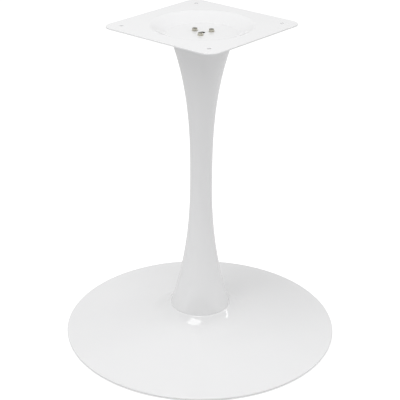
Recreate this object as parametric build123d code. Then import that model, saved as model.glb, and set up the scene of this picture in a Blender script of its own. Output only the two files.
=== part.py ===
from build123d import *
import math
import os

# Pedestal table base: a spun sheet steel foot, a waisted sheet steel column and a pressed square
# top plate. Three screws through the plate hold it to a flange inside the column's head, and three
# screws from underneath hold the foot to a flange inside the column's foot.
# Millimetres, +Z up, origin on the floor at the middle of the foot, plate edges along X and Y.

# Overall
overall_height = 705.0
base_diameter = 600.0

# Top plate
plate_sheet = 3.0
plate_border = 35.0
plate_corner_radius = 25.0
edge_break_share = 0.2
dish_depth = 16.5
dish_wall_width = 40.0
dish_bend_radius = 16.0
dish_floor_margin = 2.5
tabletop_hole_inset = 30.0
tabletop_hole_diameter = 9.0

# Column
column_sheet = 1.5
column_head_diameter = 135.0
column_waist_diameter = 47.3
column_foot_diameter = 131.0
column_waist_height = 362.0
head_flare_power = 2.72
foot_flare_power = 2.23
flare_steps = 6
flange_thickness = 8.0
flange_gap = 0.2

# Foot
base_sheet = 2.0
seat_height = 64.0
seat_margin = 0.8
seat_corner_inner_radius = 2.0
neck_angle = 46.0
neck_radius = 75.0
rim_inner_radius = 0.5
hem_margin = 2.0
backing_disc_inset = 8.0
backing_disc_thickness = 4.0

# Floor glides, pushed into holes in the hem
glide_count = 6
glide_height = 2.0
glide_pad_diameter = 18.0
glide_pad_chamfer = 0.8
glide_rim_margin = 8.0
glide_hole_diameter = 6.0
glide_stem_gap = 0.1
barb_overhang = 0.4
barb_height = 2.0
barb_tip_diameter = 4.0

# Screws and washers
screw_circle_diameter = 40.0
screw_count = 3
first_screw_angle = 60.0
screw_diameter = 6.0
top_screw_length = 16.0
base_screw_length = 20.0
screw_hole_diameter = 6.6
pilot_hole_diameter = 12.0
thread_gap = 0.05
head_across_flats = 10.0
head_height = 4.0
head_crown_share = 0.95
head_crown_angle = 30.0
tip_chamfer = 0.8
washer_diameter = 12.0
washer_bore = 6.4
washer_thickness = 1.6

# Levels and radii that follow from the sizes above
dish_floor_top = overall_height - dish_depth
column_top = dish_floor_top - plate_sheet
column_bottom = seat_height
seat_underside = seat_height - base_sheet
backing_disc_bottom = seat_underside - backing_disc_thickness
dish_floor_radius = column_head_diameter / 2 + dish_floor_margin
dish_mouth_radius = dish_floor_radius + dish_wall_width
plate_side = 2 * (dish_mouth_radius + plate_border)
tabletop_hole_spacing = plate_side - 2 * tabletop_hole_inset
seat_edge_radius = column_foot_diameter / 2 + seat_margin
glide_circle_radius = base_diameter / 2 - glide_rim_margin - glide_pad_diameter / 2
hem_edge_radius = glide_circle_radius - glide_pad_diameter / 2 - hem_margin
through = 2 * overall_height
standing = (Align.CENTER, Align.CENTER, Align.MIN)


def ray(heading, length):
    """A step of the given length in the XZ plane, its heading in degrees from +X towards +Z."""
    angle = math.radians(heading)
    return Vector(length * math.cos(angle), 0, length * math.sin(angle))


def walk(start, moves, shift):
    """Edges of a path that sets out along +X, drawn to the right of its moves by the shift.

    A move is (length, 0) for a straight or (radius, turn) for a tangent bend, left turns positive.
    """
    edges = []
    heading = 0
    point = start + ray(-90, shift)
    for size, turn in moves:
        if turn == 0:
            end = point + ray(heading, size)
            edges.append(Edge.make_line(point, end))
        else:
            side = math.copysign(1, turn)
            radius = size + side * shift
            centre = point + ray(heading + 90 * side, radius)
            middle = centre - ray(heading + 90 * side + turn / 2, radius)
            end = centre - ray(heading + 90 * side + turn, radius)
            edges.append(Edge.make_three_point_arc(point, middle, end))
            heading += turn
        point = end
    return edges


def turned_sheet(start, moves, sheet):
    """Sheet metal turned about Z, with the moves along its upper side and the metal below them."""
    upper = walk(start, moves, 0)
    lower = walk(start, moves, sheet)
    inner_end = Edge.make_line(upper[0] @ 0, lower[0] @ 0)
    outer_end = Edge.make_line(upper[-1] @ 1, lower[-1] @ 1)
    return Solid.revolve(Face(Wire([inner_end, *upper, outer_end, *lower])), 360, Axis.Z)


def on_circle(piece, radius, count, first_angle, level):
    """Copies of a piece spaced evenly on a circle about Z, at the given height."""
    step = 360 / count
    return [Pos(0, 0, level) * Rot(0, 0, first_angle + n * step) * Pos(radius, 0, 0) * piece for n in range(count)]


def at_screws(piece, level):
    """Copies of a piece at the three screw places."""
    return on_circle(piece, screw_circle_diameter / 2, screw_count, first_screw_angle, level)


def drilled(blank, hole_diameter):
    """The blank with a pilot hole on its axis and a hole at each screw place."""
    pilot = Cylinder(pilot_hole_diameter / 2, through)
    return blank - [pilot, *at_screws(Cylinder(hole_diameter / 2, through), 0)]


def column_flare(height):
    """Outside radius and slope of the column: a waist that flares by a power law to each end."""
    end_height, end_diameter, power = column_top, column_head_diameter, head_flare_power
    if height < column_waist_height:
        end_height, end_diameter, power = column_bottom, column_foot_diameter, foot_flare_power
    share = (height - column_waist_height) / (end_height - column_waist_height)
    growth = (end_diameter - column_waist_diameter) / 2
    slope = growth * power * share ** (power - 1) / (end_height - column_waist_height)
    return column_waist_diameter / 2 + growth * share**power, slope


def column_bore(height):
    """Inside radius of the column, one sheet in from the outside and square to its slope."""
    radius, slope = column_flare(height)
    return radius - column_sheet * math.hypot(1, slope)


def column_shell():
    """The waisted tube, open at both ends."""
    lower = [column_bottom + (column_waist_height - column_bottom) * n / flare_steps for n in range(flare_steps)]
    upper = [column_waist_height + (column_top - column_waist_height) * n / flare_steps for n in range(flare_steps + 1)]
    outside = Edge.make_spline([Vector(column_flare(h)[0], 0, h) for h in lower + upper])
    inside = Edge.make_spline([Vector(column_bore(h), 0, h) for h in lower + upper])
    foot = Edge.make_line(outside @ 0, inside @ 0)
    head = Edge.make_line(outside @ 1, inside @ 1)
    return Solid.revolve(Face(Wire([outside, head, inside, foot])), 360, Axis.Z)


def column_flange(bottom):
    """A tapped flange welded inside one end of the column, its edge turned to the column's taper."""
    top = bottom + flange_thickness
    blank = Cone(column_bore(bottom) - flange_gap, column_bore(top) - flange_gap, flange_thickness, align=standing)
    return drilled(Pos(0, 0, bottom) * blank, screw_diameter + 2 * thread_gap)


def top_plate():
    """The square plate, pressed down in the middle so that the screw heads clear a tabletop."""
    slab = extrude(RectangleRounded(plate_side, plate_side, plate_corner_radius), plate_sheet)
    broad_faces = slab.faces().sort_by(Axis.Z)
    rims = broad_faces[0].edges() + broad_faces[-1].edges()
    slab = Pos(0, 0, overall_height - plate_sheet) * chamfer(rims, edge_break_share * plate_sheet)
    plate = slab - Cylinder(dish_mouth_radius, through) + dish()
    tabletop_holes = GridLocations(tabletop_hole_spacing, tabletop_hole_spacing, 2, 2)
    plate -= tabletop_holes * Cylinder(tabletop_hole_diameter / 2, through)
    return drilled(plate, screw_hole_diameter)


def dish():
    """The pressed part of the plate: a flat floor, a sloping wall and a soft bend at each end of it."""
    inner_bend = dish_bend_radius
    outer_bend = dish_bend_radius + plate_sheet
    bends = inner_bend + outer_bend
    wall = math.sqrt(dish_wall_width**2 + dish_depth**2 - 2 * bends * dish_depth)
    wall_angle = 2 * math.degrees(math.atan2(dish_depth, dish_wall_width + wall))
    moves = [(dish_floor_radius, 0), (inner_bend, wall_angle), (wall, 0), (outer_bend, -wall_angle)]
    return turned_sheet(Vector(0, 0, dish_floor_top), moves, plate_sheet)


def base_shell():
    """The spun foot: a flat seat, a hollow neck, a long skirt and a rolled rim with a hem inside it."""
    corner = base_sheet + seat_corner_inner_radius
    roll = base_sheet + rim_inner_radius
    neck_centre = Vector(seat_edge_radius, 0, seat_height - corner) + ray(90 - neck_angle, corner + neck_radius)
    roll_centre = Vector(base_diameter / 2 - roll, 0, glide_height + roll)
    span = roll_centre - neck_centre
    # The skirt is the straight that touches the neck's circle from below and the roll's from above.
    tilt = math.degrees(math.asin((neck_radius + roll) / span.length))
    skirt_angle = math.degrees(math.atan2(-span.Z, span.X)) - tilt
    skirt_length = math.sqrt(span.length**2 - (neck_radius + roll) ** 2)
    moves = [
        (seat_edge_radius, 0),
        (corner, -neck_angle),
        (neck_radius, neck_angle - skirt_angle),
        (skirt_length, 0),
        (roll, skirt_angle - 180),
        (roll_centre.X - hem_edge_radius, 0),
    ]
    shell = drilled(turned_sheet(Vector(0, 0, seat_height), moves, base_sheet), screw_hole_diameter)
    hole = Cylinder(glide_hole_diameter / 2, glide_height + base_sheet, align=standing)
    return shell - at_glides(hole)


def backing_disc():
    """The disc welded under the seat, which spreads the pull of the three screws."""
    blank = Cylinder(column_foot_diameter / 2 - backing_disc_inset, backing_disc_thickness, align=standing)
    return drilled(Pos(0, 0, backing_disc_bottom) * blank, screw_hole_diameter)


def at_glides(piece):
    """Copies of a piece at the glide places, with its own origin on the floor."""
    return on_circle(piece, glide_circle_radius, glide_count, 180 / glide_count, 0)


def floor_glide():
    """A moulded pad with a stem that passes up through the hem and a barb that holds it there."""
    pad = Cylinder(glide_pad_diameter / 2, glide_height, align=standing)
    pad = chamfer(pad.edges().sort_by(Axis.Z)[0], glide_pad_chamfer)
    stem_radius = glide_hole_diameter / 2 - glide_stem_gap
    stem_top = glide_height + base_sheet + glide_stem_gap
    stem = Cylinder(stem_radius, stem_top, align=standing)
    barb_radius = glide_hole_diameter / 2 + barb_overhang
    barb = Pos(0, 0, stem_top) * Cone(barb_radius, barb_tip_diameter / 2, barb_height, align=standing)
    return pad + stem + barb


def hex_screw(length):
    """A hexagon head screw, head up, with its origin where the head bears on the washer."""
    prism = extrude(RegularPolygon(head_across_flats / 2, 6, major_radius=False), head_height)
    crown_radius = head_crown_share * head_across_flats / 2
    spread = head_height / math.tan(math.radians(head_crown_angle))
    head = prism & Cone(crown_radius + spread, crown_radius, head_height, align=standing)
    shank = Pos(0, 0, -length) * Cylinder(screw_diameter / 2, length, align=standing)
    shank = chamfer(shank.edges().sort_by(Axis.Z)[0], tip_chamfer)
    return head + shank


def washer():
    """A flat washer lying on its lower face."""
    blank = Cylinder(washer_diameter / 2, washer_thickness, align=standing)
    return blank - Cylinder(washer_bore / 2, through)


def numbered(name, pieces):
    """Names for a set of like pieces, counted from 1."""
    return {f"{name}_{n}": piece for n, piece in enumerate(pieces, 1)}


upside_down = Rot(180, 0, 0)
nodes = {
    "base_shell": base_shell(),
    "base_backing_disc": backing_disc(),
    "column_shell": column_shell(),
    "column_foot_flange": column_flange(column_bottom),
    "column_head_flange": column_flange(column_top - flange_thickness),
    "top_plate": top_plate(),
    **numbered("top_washer", at_screws(washer(), dish_floor_top)),
    **numbered("top_screw", at_screws(hex_screw(top_screw_length), dish_floor_top + washer_thickness)),
    **numbered("base_washer", at_screws(washer(), backing_disc_bottom - washer_thickness)),
    **numbered(
        "base_screw",
        at_screws(upside_down * hex_screw(base_screw_length), backing_disc_bottom - washer_thickness),
    ),
    **numbered("floor_glide", at_glides(floor_glide())),
}

os.makedirs("parts", exist_ok=True)
for name, piece in nodes.items():
    export_step(piece, f"parts/{name}.step")
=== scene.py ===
import math

import bpy
from mathutils import Matrix, Vector


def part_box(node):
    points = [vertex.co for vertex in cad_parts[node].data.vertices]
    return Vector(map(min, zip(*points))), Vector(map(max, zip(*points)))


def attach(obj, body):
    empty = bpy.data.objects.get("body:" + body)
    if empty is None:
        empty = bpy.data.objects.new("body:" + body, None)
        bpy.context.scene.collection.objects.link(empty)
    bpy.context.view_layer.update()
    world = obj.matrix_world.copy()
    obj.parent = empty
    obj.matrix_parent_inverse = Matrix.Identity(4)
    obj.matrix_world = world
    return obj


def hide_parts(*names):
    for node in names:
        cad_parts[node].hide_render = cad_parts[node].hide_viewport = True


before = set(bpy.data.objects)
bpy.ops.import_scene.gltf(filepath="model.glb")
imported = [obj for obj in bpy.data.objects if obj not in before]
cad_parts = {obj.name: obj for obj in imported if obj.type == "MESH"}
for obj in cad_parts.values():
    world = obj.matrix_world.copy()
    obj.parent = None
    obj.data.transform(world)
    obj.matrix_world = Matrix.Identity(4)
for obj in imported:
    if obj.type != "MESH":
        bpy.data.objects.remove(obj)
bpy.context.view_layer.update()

# The foot shell: one disc of 2 mm sheet steel, spun over a former into a flat seat, a hollow neck
# and a long straight skirt, with its rim rolled under into a hem. It is powder coated white inside
# and out, stands on six glides and carries everything else.
foot_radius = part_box("base_shell")[1].x
foot_sheet = 0.002
hem_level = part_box("base_shell")[0].z
seat_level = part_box("base_shell")[1].z
seat_edge = 0.0663
seat_corner = foot_sheet + 0.002
neck_angle = math.radians(46)
neck_radius = 0.075
rim_roll = foot_sheet + 0.0005
hem_edge = 0.272
pilot_radius = 0.006
screw_hole_radius = 0.0033
screw_circle = 0.020
first_screw = math.radians(60)
screw_count = 3
glide_circle = 0.283
glide_count = 6
glide_hole_radius = 0.003
foot_turns = 360
hole_turns = 48
bend_step = math.radians(4)
coat_dark = (0.854, 0.855, 0.861)
coat_light = (0.873, 0.873, 0.877)
coat_refraction = 1.55
peel_share = 0.25


def heading_step(heading, length):
    """A step in the plane of radius and height, its heading counted from straight outwards."""
    return Vector((length * math.cos(heading), length * math.sin(heading)))


def sheet_side(start, moves, shift):
    """Points of a sheet's section along straights and tangent bends, set off below by the shift."""
    quarter = math.pi / 2
    heading = 0.0
    points = [Vector(start) + heading_step(-quarter, shift)]
    for size, turn in moves:
        if turn == 0:
            points.append(points[-1] + heading_step(heading, size))
            continue
        side = math.copysign(1, turn)
        radius = size + side * shift
        centre = points[-1] + heading_step(heading + quarter * side, radius)
        steps = max(3, round(abs(turn) / bend_step))
        for n in range(1, steps + 1):
            swung = heading + turn * n / steps
            points.append(centre - heading_step(swung + quarter * side, radius))
        heading += turn
    return points


def sheet_section(start, moves, sheet):
    """The closed section of a sheet: its upper side outwards and its lower side back."""
    return sheet_side(start, moves, 0) + sheet_side(start, moves, sheet)[::-1]


def hoop(radius, height, turns):
    """A ring of points round the axis."""
    angles = (2 * math.pi * n / turns for n in range(turns))
    return [(radius * math.cos(a), radius * math.sin(a), height) for a in angles]


def shifted(ring, x, y):
    """The ring moved sideways to a place."""
    return [(x + px, y + py, pz) for px, py, pz in ring]


def skin(name, rings, ring_shaped):
    """A closed mesh over rings of points, listed outwards over the top and then down and back.

    A ring-shaped one joins its last ring to its first, and any other gets a flat face at each end.
    """
    turns = len(rings[0])
    points = [p for ring in rings for p in ring]
    pairs = [(n, n + 1) for n in range(len(rings) - 1)]
    if ring_shaped:
        pairs.append((len(rings) - 1, 0))
    faces = []
    for low, high in pairs:
        for k in range(turns):
            after = (k + 1) % turns
            faces.append((low * turns + k, high * turns + k, high * turns + after, low * turns + after))
    if not ring_shaped:
        faces.append(tuple(range(turns)))
        faces.append(tuple(reversed(range(len(points) - turns, len(points)))))
    mesh = bpy.data.meshes.new(name)
    mesh.from_pydata(points, [], faces)
    piece = bpy.data.objects.new(name, mesh)
    bpy.context.scene.collection.objects.link(piece)
    return piece


def settle(piece):
    """Bakes the piece's modifiers into its mesh."""
    graph = bpy.context.evaluated_depsgraph_get()
    made = bpy.data.meshes.new_from_object(piece.evaluated_get(graph))
    piece.modifiers.clear()
    piece.data = made


def drill(piece, places, radius, top=1.0):
    """Cuts an upright round hole at each place, through the piece from below up to the given top."""
    for x, y in places:
        bit = skin("drill_bit", [shifted(hoop(radius, z, hole_turns), x, y) for z in (top, -1)], False)
        cut = piece.modifiers.new("hole", "BOOLEAN")
        cut.object = bit
        cut.operation = "DIFFERENCE"
        cut.solver = "EXACT"
        settle(piece)
        bpy.data.objects.remove(bit)


def smooth(piece, crease=math.radians(32)):
    """Shades the piece smooth between creases, with flat faces kept flat."""
    piece.data.polygons.foreach_set("use_smooth", [True] * len(piece.data.polygons))
    piece.data.set_sharp_from_angle(angle=crease)
    level = piece.modifiers.new("flat_faces_rule", "WEIGHTED_NORMAL")
    level.keep_sharp = True
    level.weight = 100
    settle(piece)


def round_the_axis(radius, count, first):
    """Places spaced evenly on a circle."""
    angles = (first + 2 * math.pi * n / count for n in range(count))
    return [(radius * math.cos(a), radius * math.sin(a)) for a in angles]


def fit(piece, node, finish):
    """Puts the piece in its node's stead and finish that it takes."""
    piece.data.materials.clear()
    piece.data.materials.append(finish)
    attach(piece, "root")
    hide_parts(node)


def new_finish(name):
    """A plain finish, its shader and the maker of its links."""
    finish = bpy.data.materials.new(name)
    finish.use_nodes = True
    shader = finish.node_tree.nodes["Principled BSDF"]
    return finish, shader, finish.node_tree.links.new


def add(finish, kind, **inputs):
    """A node in a finish, with its plain inputs set by name."""
    node = finish.node_tree.nodes.new(kind)
    for key, value in inputs.items():
        node.inputs[key.replace("_", " ")].default_value = value
    return node


def noise(finish, scale, detail, roughness=0.5):
    """A cloudy pattern fixed to the piece, its scale counted per metre."""
    node = add(finish, "ShaderNodeTexNoise", Scale=scale, Detail=detail, Roughness=roughness)
    place = finish.node_tree.nodes.new("ShaderNodeTexCoord").outputs["Object"]
    finish.node_tree.links.new(place, node.inputs["Vector"])
    return node.outputs["Fac"]


def ramp(finish, source, low, high, from_low=0.3, from_high=0.7):
    """Maps a 0 to 1 pattern to a range of values."""
    node = add(finish, "ShaderNodeMapRange", From_Min=from_low, From_Max=from_high, To_Min=low, To_Max=high)
    finish.node_tree.links.new(source, node.inputs["Value"])
    return node.outputs["Result"]


def blend_colours(finish, factor, first, second):
    """Mixes two colours by a pattern."""
    node = finish.node_tree.nodes.new("ShaderNodeMix")
    node.data_type = "RGBA"
    node.inputs["A"].default_value = (*first, 1)
    node.inputs["B"].default_value = (*second, 1)
    finish.node_tree.links.new(factor, node.inputs["Factor"])
    return node.outputs["Result"]


def relief(finish, shader, height, strength, depth):
    """Lets a pattern stand out of the surface a little."""
    bump = add(finish, "ShaderNodeBump", Strength=strength, Distance=depth)
    finish.node_tree.links.new(height, bump.inputs["Height"])
    finish.node_tree.links.new(bump.outputs["Normal"], shader.inputs["Normal"])


def powder_coat():
    """Gloss white powder coat: a faint orange peel over a slow ripple, and clouds of tint and gloss."""
    finish, shader, link = new_finish("white_powder_coat")
    clouds = noise(finish, 9.0, 3.0, 0.55)
    link(blend_colours(finish, clouds, coat_dark, coat_light), shader.inputs["Base Color"])
    link(ramp(finish, clouds, 0.025, 0.045), shader.inputs["Roughness"])
    height = finish.node_tree.nodes.new("ShaderNodeMath")
    height.operation = "MULTIPLY_ADD"
    link(noise(finish, 420.0, 2.0), height.inputs[0])
    height.inputs[1].default_value = peel_share
    link(noise(finish, 60.0, 1.0, 0.4), height.inputs[2])
    relief(finish, shader, height.outputs["Value"], 0.06, 0.0002)
    shader.inputs["IOR"].default_value = coat_refraction
    return finish


roll_centre = Vector((foot_radius - rim_roll, hem_level + rim_roll))
corner_centre = Vector((seat_edge, seat_level - seat_corner))
neck_centre = corner_centre + heading_step(math.pi / 2 - neck_angle, seat_corner + neck_radius)
span = roll_centre - neck_centre
skirt_angle = math.atan2(-span.y, span.x) - math.asin((neck_radius + rim_roll) / span.length)
skirt_length = math.sqrt(span.length**2 - (neck_radius + rim_roll) ** 2)
skirt_parts = 12
foot_moves = [
    (seat_edge - pilot_radius, 0),
    (seat_corner, -neck_angle),
    (neck_radius, neck_angle - skirt_angle),
    *[(skirt_length / skirt_parts, 0)] * skirt_parts,
    (rim_roll, skirt_angle - math.pi),
    (roll_centre.x - hem_edge, 0),
]
section = sheet_section((pilot_radius, seat_level), foot_moves, foot_sheet)
foot = skin("foot_shell", [hoop(r, z, foot_turns) for r, z in section], True)
drill(foot, round_the_axis(screw_circle, screw_count, first_screw), screw_hole_radius)
hem_top = hem_level + 1.5 * foot_sheet
drill(foot, round_the_axis(glide_circle, glide_count, math.pi / glide_count), glide_hole_radius, hem_top)
smooth(foot)
coat = powder_coat()
fit(foot, "base_shell", coat)

# The backing disc: a 4 mm steel disc welded under the seat before coating, so that the three screws
# pull on a stiff face and not on thin sheet.
disc_low, disc_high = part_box("base_backing_disc")
disc_break = 0.0005
disc_turns = 180


def disc_section(inner, outer, bottom, top, edge):
    """The section of a flat ring with its outer edges broken."""
    return [
        (inner, top),
        (outer - edge, top),
        (outer, top - edge),
        (outer, bottom + edge),
        (outer - edge, bottom),
        (inner, bottom),
    ]


section = disc_section(pilot_radius, disc_high.x, disc_low.z, disc_high.z, disc_break)
backing = skin("backing_disc", [hoop(r, z, disc_turns) for r, z in section], True)
drill(backing, round_the_axis(screw_circle, screw_count, first_screw), screw_hole_radius)
smooth(backing)
fit(backing, "base_backing_disc", coat)

# The floor glides: six moulded nylon pads. Each one's stem goes up through a hole in the hem and a
# barb above the sheet keeps it there, so that no metal touches the floor.
pad_radius = 0.009
pad_round = 0.0008
pad_round_steps = 6
stem_clearance = 0.0001
stem_radius = glide_hole_radius - stem_clearance
stem_top = hem_level + foot_sheet + stem_clearance
barb_overhang = 0.0004
barb_radius = glide_hole_radius + barb_overhang
barb_shoulder = 0.0006
barb_lean = 0.0002
barb_tip = 0.002
barb_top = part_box("floor_glide_1")[1].z
glide_turns = 64
nylon_dark = (0.80, 0.80, 0.77)
nylon_light = (0.84, 0.84, 0.81)


def moulded_nylon():
    """Off-white nylon with a fine spark-eroded grain."""
    finish, shader, link = new_finish("glide_nylon")
    grain = noise(finish, 1800.0, 2.0)
    link(blend_colours(finish, grain, nylon_dark, nylon_light), shader.inputs["Base Color"])
    link(ramp(finish, grain, 0.42, 0.55), shader.inputs["Roughness"])
    relief(finish, shader, grain, 0.15, 0.0001)
    shader.inputs["Subsurface Weight"].default_value = 0.05
    shader.inputs["Subsurface Radius"].default_value = (0.002, 0.002, 0.0015)
    return finish


nylon = moulded_nylon()
pad_angles = [math.pi / 2 * n / pad_round_steps for n in range(pad_round_steps + 1)]
pad_middle = pad_radius - pad_round
glide_section = [
    *[(pad_middle + pad_round * math.sin(a), pad_round - pad_round * math.cos(a)) for a in pad_angles],
    (pad_radius, hem_level),
    (stem_radius, hem_level),
    (stem_radius, stem_top),
    (barb_radius, stem_top),
    (barb_radius - barb_lean, stem_top + barb_shoulder),
    (barb_tip, barb_top),
]
for n, (x, y) in enumerate(round_the_axis(glide_circle, glide_count, math.pi / glide_count), 1):
    rings = [shifted(hoop(r, z, glide_turns), x, y) for r, z in reversed(glide_section)]
    glide = skin(f"glide_{n}", rings, False)
    smooth(glide)
    fit(glide, f"floor_glide_{n}", nylon)

# The column: one tube of 1.5 mm sheet steel, spun to a waist that flares like a horn to each end.
# The cut edge at its foot is eased. It is coated white like the foot and stands on the foot's seat.
column_low, column_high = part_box("column_shell")
column_sheet = 0.0015
head_radius = 0.0675
waist_radius = 0.02365
foot_end_radius = 0.0655
waist_level = 0.362
head_power = 2.72
foot_power = 2.23
column_turns = 240
column_steps = 120
end_round = 0.0007


def flare(height):
    """Outside radius and slope of the column at a height."""
    end_level, end_radius, power = column_high.z, head_radius, head_power
    if height < waist_level:
        end_level, end_radius, power = column_low.z, foot_end_radius, foot_power
    share = (height - waist_level) / (end_level - waist_level)
    growth = end_radius - waist_radius
    slope = growth * power * share ** (power - 1) / (end_level - waist_level)
    return waist_radius + growth * share**power, slope


column_length = column_high.z - column_low.z
levels = [column_low.z + column_length * n / column_steps for n in range(column_steps + 1)]
levels[0] += end_round
outside = [(flare(z)[0], z) for z in levels]
inside = [(flare(z)[0] - column_sheet * math.hypot(1, flare(z)[1]), z) for z in reversed(levels)]
foot_end = [(inside[-1][0] + end_round, column_low.z), (outside[0][0] - end_round, column_low.z)]
column = skin("column", [hoop(r, z, column_turns) for r, z in foot_end + outside + inside], True)
smooth(column)
fit(column, "column_shell", coat)

# The two flanges: tapped 8 mm steel discs welded inside the column's ends, turned to its taper. They
# are bare steel with turning marks, and only their pilot holes can be seen.
steel_dark = (0.46, 0.45, 0.43)
steel_light = (0.56, 0.55, 0.53)


def turned_steel():
    """Bare steel with fine turning marks round the axis."""
    finish, shader, link = new_finish("turned_steel")
    marks = add(finish, "ShaderNodeTexWave", Scale=900.0, Distortion=0.6)
    marks.wave_type = "RINGS"
    marks.rings_direction = "Z"
    place = finish.node_tree.nodes.new("ShaderNodeTexCoord").outputs["Object"]
    link(place, marks.inputs["Vector"])
    link(blend_colours(finish, marks.outputs["Fac"], steel_dark, steel_light), shader.inputs["Base Color"])
    link(ramp(finish, marks.outputs["Fac"], 0.30, 0.42, 0.0, 1.0), shader.inputs["Roughness"])
    relief(finish, shader, marks.outputs["Fac"], 0.2, 0.00005)
    shader.inputs["Metallic"].default_value = 1.0
    return finish


steel = turned_steel()
for node in ("column_foot_flange", "column_head_flange"):
    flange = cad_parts[node]
    flange.data.materials.clear()
    flange.data.materials.append(steel)

# The top plate: a square of 3 mm steel with rounded corners, pressed down in the middle so that the
# screw heads clear a tabletop. Four corner holes take the tabletop's screws. Coated like the column,
# but for the pilot hole's wall, which takes the darker steel finish as painted shade in the hole.
plate_low, plate_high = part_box("top_plate")
plate_sheet = 0.003
half_side = plate_high.x
plate_corner = 0.025
plate_round = 0.0007
plate_round_steps = 4
dish_floor = plate_low.z + plate_sheet
dish_floor_radius = head_radius + 0.0025
dish_wall_width = 0.040
dish_bend = 0.016
tabletop_hole_inset = 0.030
tabletop_hole_radius = 0.0045
painted_shade_wall_reach = pilot_radius + 0.0001
side_points = 44
corner_points = 14


def plate_outline():
    """Points round the plate's rounded square, each with its outward direction."""
    straight = half_side - plate_corner
    made = []
    for quarter in range(4):
        turn = Matrix.Rotation(quarter * math.pi / 2, 2)
        for n in range(side_points):
            along = straight * (2 * n / side_points - 1)
            made.append((turn @ Vector((half_side, along)), turn @ Vector((1, 0))))
        for n in range(corner_points):
            way = heading_step(math.pi / 2 * n / corner_points, 1)
            made.append((turn @ (Vector((straight, straight)) + plate_corner * way), turn @ way))
    return made


outline = plate_outline()


def plate_ring(inset, height):
    """A ring that follows the plate's outline at an inset."""
    return [(*(p - inset * way), height) for p, way in outline]


def dish_ring(radius, height):
    """A round ring with a point on the way to each point of the outline."""
    return [(*(radius * p.normalized()), height) for p, way in outline]


def edge_rings():
    """Rings over the plate's outer edge, from its upper face to its lower."""
    angles = [math.pi / 2 * n / plate_round_steps for n in range(plate_round_steps + 1)]
    corner = [(plate_round * (1 - math.sin(a)), plate_round * (1 - math.cos(a))) for a in angles]
    top, bottom = plate_high.z, plate_high.z - plate_sheet
    upper_edge = [plate_ring(inset, top - drop) for inset, drop in corner]
    return upper_edge + [plate_ring(drop, bottom + inset) for inset, drop in corner]


def finish_faces(piece, finish, chosen):
    """Gives a second finish to the faces whose middle is chosen."""
    piece.data.materials.append(finish)
    for face in piece.data.polygons:
        if chosen(face.center):
            face.material_index = 1


bends = 2 * dish_bend + plate_sheet
dish_depth = plate_high.z - dish_floor
wall = math.sqrt(dish_wall_width**2 + dish_depth**2 - 2 * bends * dish_depth)
wall_angle = 2 * math.atan2(dish_depth, dish_wall_width + wall)
dish_moves = [
    (dish_floor_radius - pilot_radius, 0),
    (dish_bend, wall_angle),
    (wall, 0),
    (dish_bend + plate_sheet, -wall_angle),
]
upper = sheet_side((pilot_radius, dish_floor), dish_moves, 0)
lower = sheet_side((pilot_radius, dish_floor), dish_moves, plate_sheet)
dish_top = [dish_ring(r, z) for r, z in upper]
dish_underside = [dish_ring(r, z) for r, z in reversed(lower)]
plate = skin("top_plate_pressed", dish_top + edge_rings() + dish_underside, True)
reach = half_side - tabletop_hole_inset
drill(plate, [(x, y) for x in (-reach, reach) for y in (-reach, reach)], tabletop_hole_radius)
drill(plate, round_the_axis(screw_circle, screw_count, first_screw), screw_hole_radius)
smooth(plate)
fit(plate, "top_plate", coat)
# Painted shade: the pilot hole's wall takes the darker steel finish to stand for the shade inside the hole.
finish_faces(plate, steel, lambda middle: middle.xy.length < painted_shade_wall_reach)

# The screws and washers: three M6 hexagon head screws on flat washers hold the plate to the column's
# head, and three more hold the foot from underneath. They are zinc plated with a light yellow
# passivation. The screws' crowns get a much darker copy of the zinc, a painted dark reflection.
across_flats = 0.010
head_height = 0.004
crown_radius = 0.00475
crown_middle_radius = crown_radius / 2
crown_angle = math.radians(30)
crown_depth = 0.0005
edge_soft = 0.00015
washer_face_radius = 0.0045
washer_face_height = 0.0003
thread_radius = 0.00298
thread_depth = 0.0005
thread_pitch = 0.001
thread_steps = 8
plain_neck = 0.0012
tip_length = 0.0010
washer_bore = 0.0032
washer_radius = 0.006
washer_height = 0.0016
screw_turns = 72
screw_crease = math.radians(25)
screw_ends = {
    "top": (1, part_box("top_washer_1")[0].z, (17, -8, 31)),
    "base": (-1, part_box("base_washer_1")[1].z, (4, 22, -15)),
}


def zinc_plate(name, dark, light):
    """Zinc with a light yellow passivation: warm grey, clouded, a little rough."""
    finish, shader, link = new_finish(name)
    clouds = noise(finish, 260.0, 4.0, 0.6)
    link(blend_colours(finish, clouds, dark, light), shader.inputs["Base Color"])
    link(ramp(finish, clouds, 0.24, 0.40), shader.inputs["Roughness"])
    relief(finish, shader, clouds, 0.15, 0.00008)
    shader.inputs["Metallic"].default_value = 1.0
    return finish


def hexagon_ring(inset, height, crowned):
    """A ring round the head's flats, drawn in by the inset and, if crowned, lowered by the crown."""
    ring = []
    for n in range(screw_turns):
        angle = 2 * math.pi * n / screw_turns
        off_flat = (angle % (math.pi / 3)) - math.pi / 6
        radius = (across_flats / 2 - inset) / math.cos(off_flat)
        drop = max(0.0, radius - crown_radius) * math.tan(crown_angle) if crowned else 0.0
        ring.append((radius * math.cos(angle), radius * math.sin(angle), height - drop))
    return ring


def thread_ring(depth_below):
    """A ring of the shank at a depth below the head, with its stretch of the thread."""
    ring = []
    for n in range(screw_turns):
        turn = n / screw_turns
        angle = 2 * math.pi * turn
        wave = abs(((depth_below / thread_pitch + turn) % 1.0) * 2 - 1)
        radius = thread_radius - thread_depth * wave
        ring.append((radius * math.cos(angle), radius * math.sin(angle), -depth_below))
    return ring


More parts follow.
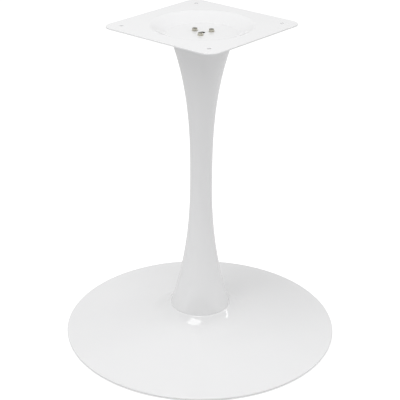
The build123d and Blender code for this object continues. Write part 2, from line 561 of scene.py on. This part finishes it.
def screw_rings(length):
    """Rings of a whole screw, head up, from its crown to its tip."""
    core = thread_radius - thread_depth
    rings = [
        hoop(crown_middle_radius, head_height, screw_turns),
        hoop(crown_radius - edge_soft, head_height, screw_turns),
        hexagon_ring(edge_soft, head_height, True),
        hexagon_ring(0, head_height - edge_soft, True),
        hexagon_ring(0, washer_face_height + edge_soft, False),
        hexagon_ring(edge_soft, washer_face_height, False),
        hoop(washer_face_radius + edge_soft, washer_face_height, screw_turns),
        hoop(washer_face_radius, 0, screw_turns),
        hoop(core, 0, screw_turns),
        hoop(core, -plain_neck, screw_turns),
    ]
    threaded = length - plain_neck - tip_length
    count = round(threaded / thread_pitch * thread_steps)
    rings += [thread_ring(plain_neck + threaded * n / count) for n in range(1, count + 1)]
    rings.append(hoop(core - tip_length / 2, -length, screw_turns))
    return rings


def washer_rings():
    """Rings of a flat washer with its outer edges rolled soft by the press."""
    section = disc_section(washer_bore, washer_radius, 0, washer_height, edge_soft)
    return [hoop(r, z, screw_turns) for r, z in section]


def placed(rings, where):
    """The rings moved to their place."""
    return [[where @ Vector(p) for p in ring] for ring in rings]


zinc = zinc_plate("yellow_zinc", (0.63, 0.61, 0.53), (0.76, 0.73, 0.63))
# The crowns' dark zinc is painted reflection: it stands in for the dark surround that the tops mirror.
crown_zinc_painted_reflection = zinc_plate("yellow_zinc_crown_painted_reflection", (0.19, 0.18, 0.15), (0.28, 0.27, 0.22))
crown_level = washer_height + head_height - crown_depth
for end, (way_up, seat, head_turns) in screw_ends.items():
    over = Matrix.Identity(4) if way_up > 0 else Matrix.Rotation(math.pi, 4, "X")
    for n, (x, y) in enumerate(round_the_axis(screw_circle, screw_count, first_screw), 1):
        screw_low, screw_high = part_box(f"{end}_screw_{n}")
        length = screw_high.z - screw_low.z - head_height
        under = Matrix.Translation((x, y, seat)) @ over
        lifted = Matrix.Translation((0, 0, washer_height))
        turned = Matrix.Rotation(math.radians(head_turns[n - 1]), 4, "Z")
        screw = skin(f"{end}_hex_screw_{n}", placed(screw_rings(length), under @ lifted @ turned), False)
        washer = skin(f"{end}_flat_washer_{n}", placed(washer_rings(), under), True)
        smooth(screw, screw_crease)
        smooth(washer, screw_crease)
        fit(screw, f"{end}_screw_{n}", zinc)
        fit(washer, f"{end}_washer_{n}", zinc)
        # Painted reflection: the faces above the crown level take the dark crown zinc.
        finish_faces(screw, crown_zinc_painted_reflection, lambda middle: (middle.z - seat) * way_up > crown_level)

# The studio: a plain white floor that keeps a soft shadow, a pale surround that gives most of the
# light, a large soft box overhead, a small one at the right and two fills that leave no highlight.
# What the gloss mirrors is a pale backdrop behind the object and a darker room in front of it.
floor_size = 14.0
floor_white = 0.63
floor_glow = 0.60
floor_mirrored = 0.385
surround_light = 0.685
backdrop_left = 0.80
backdrop_right = 0.72
room_mirrored = 0.20
mirrored_soften = 0.15
lamp_reach = 2.4
lamp_aim = Vector((0, 0, 0.3))
overhead_reach = 4.0
overhead_turn = math.radians(8)
view_azimuth = math.radians(40.3)
rightwards = Vector((math.cos(view_azimuth), math.sin(view_azimuth), 0))
backwards = Vector((-math.sin(view_azimuth), math.cos(view_azimuth), 0))


def feed(link, socket, value):
    """Sets a socket to a number, or links it where the value is another node's output."""
    if isinstance(value, float):
        socket.default_value = value
    else:
        link(value, socket)


def join_values(nodes, link, operation, first, second):
    """A math node over two values."""
    node = nodes.new("ShaderNodeMath")
    node.operation = operation
    feed(link, node.inputs[0], first)
    feed(link, node.inputs[1], second)
    return node.outputs["Value"]


def facing(azimuth, rise):
    """A direction at an angle round the object, counted from its front, and an angle up."""
    return Vector((math.sin(azimuth) * math.cos(rise), -math.cos(azimuth) * math.cos(rise), math.sin(rise)))


def floor_finish():
    """White to the camera but for a soft shadow, and a light grey to the object and its gloss."""
    finish, shader, link = new_finish("floor_white")
    nodes = finish.node_tree.nodes
    shader.inputs["Base Color"].default_value = (floor_white, floor_white, floor_white, 1)
    shader.inputs["Roughness"].default_value = 0.9
    shader.inputs["Specular IOR Level"].default_value = 0.0
    rays = nodes.new("ShaderNodeLightPath").outputs
    mirrored = join_values(nodes, link, "MAXIMUM", rays["Is Glossy Ray"], rays["Is Transmission Ray"])
    mirrored = join_values(nodes, link, "MULTIPLY", mirrored, floor_mirrored)
    seen = join_values(nodes, link, "ADD", rays["Is Camera Ray"], mirrored)
    link(join_values(nodes, link, "MULTIPLY", seen, floor_glow), shader.inputs["Emission Strength"])
    shader.inputs["Emission Color"].default_value = (1, 1, 1, 1)
    return finish


bpy.ops.mesh.primitive_plane_add(size=floor_size)
floor = bpy.context.object
floor.name = "floor"
floor.data.materials.append(floor_finish())

world = bpy.data.worlds.new("surround")
bpy.context.scene.world = world
world.use_nodes = True
tree = world.node_tree
link = tree.links.new
way_out = tree.nodes.new("ShaderNodeTexCoord").outputs["Generated"]


def pick(share, low, high):
    """The low value where the share is 0, the high one where it is 1, and a blend between."""
    level = tree.nodes.new("ShaderNodeMapRange")
    for socket, value in (("Value", share), ("To Min", low), ("To Max", high)):
        feed(link, level.inputs[socket], value)
    return level


def towards(way, low, high):
    """A value that goes from low to high as the look turns from away from a direction to along it."""
    along = tree.nodes.new("ShaderNodeVectorMath")
    along.operation = "DOT_PRODUCT"
    along.inputs[1].default_value = way
    link(way_out, along.inputs[0])
    level = pick(along.outputs["Value"], low, high)
    level.inputs["From Min"].default_value = -mirrored_soften
    level.inputs["From Max"].default_value = mirrored_soften
    return level.outputs["Result"]


rays = tree.nodes.new("ShaderNodeLightPath").outputs
mirrored = join_values(tree.nodes, link, "MAXIMUM", rays["Is Glossy Ray"], rays["Is Transmission Ray"])
room = towards(backwards, room_mirrored, towards(rightwards, backdrop_left, backdrop_right))
unseen = pick(mirrored, surround_light, room).outputs["Result"]
strength = pick(rays["Is Camera Ray"], unseen, 1.0).outputs["Result"]
surround = tree.nodes["Background"]
surround.inputs["Color"].default_value = (1, 1, 1, 1)
link(strength, surround.inputs["Strength"])


def soft_lamp(name, side, elevation, width, depth, level, reach=lamp_reach):
    """A soft lamp at a side angle from the camera's own, lighting what faces it to the given level."""
    way = facing(view_azimuth + math.radians(side), math.radians(elevation))
    light = bpy.data.lights.new(name, "AREA")
    light.shape = "RECTANGLE"
    light.size, light.size_y = width, depth
    light.energy = level * math.pi**2 * reach**2
    lamp = bpy.data.objects.new(name, light)
    lamp.location = lamp_aim + way * reach
    lamp.rotation_mode = "QUATERNION"
    lamp.rotation_quaternion = way.to_track_quat("Z", "Y")
    bpy.context.scene.collection.objects.link(lamp)
    return lamp


overhead = soft_lamp(
    "overhead", side=-37.5, elevation=72, width=1.72, depth=1.72, level=0.228, reach=overhead_reach
)
overhead.rotation_quaternion = Matrix.Rotation(view_azimuth + overhead_turn, 4, "Z").to_quaternion()
soft_lamp("right", side=111, elevation=32, width=0.22, depth=0.85, level=0.044)
front_fill = soft_lamp("front_fill", side=-30, elevation=50, width=0.8, depth=0.8, level=0.118)
right_fill = soft_lamp("right_fill", side=88, elevation=28, width=0.8, depth=0.8, level=0.063)
for fill in (front_fill, right_fill):
    fill.visible_glossy = False

# The camera stands where the photograph's did, looks down on the object from its front corner and
# leans a little, as the photograph's outlines show.
camera_elevation = math.radians(24.90)
camera_distance = 2.4553
camera_roll = math.radians(0.45)
aim = Vector((0, 0, 0.3145))
sensor_mm = 36.0
lens_mm = 102.15
shift_right = -0.0024
turned = Matrix.Rotation(view_azimuth, 4, "Z")
tipped = Matrix.Rotation(math.pi / 2 - camera_elevation, 4, "X")
rolled = Matrix.Rotation(camera_roll, 4, "Z")
eye = bpy.data.cameras.new("camera")
eye.sensor_width = sensor_mm
eye.lens = lens_mm
eye.shift_x = shift_right
camera = bpy.data.objects.new("camera", eye)
stand = aim + facing(view_azimuth, camera_elevation) * camera_distance
camera.matrix_world = Matrix.Translation(stand) @ turned @ tipped @ rolled
bpy.context.scene.collection.objects.link(camera)
bpy.context.scene.camera = camera
bpy.context.scene.view_settings.view_transform = "Standard"
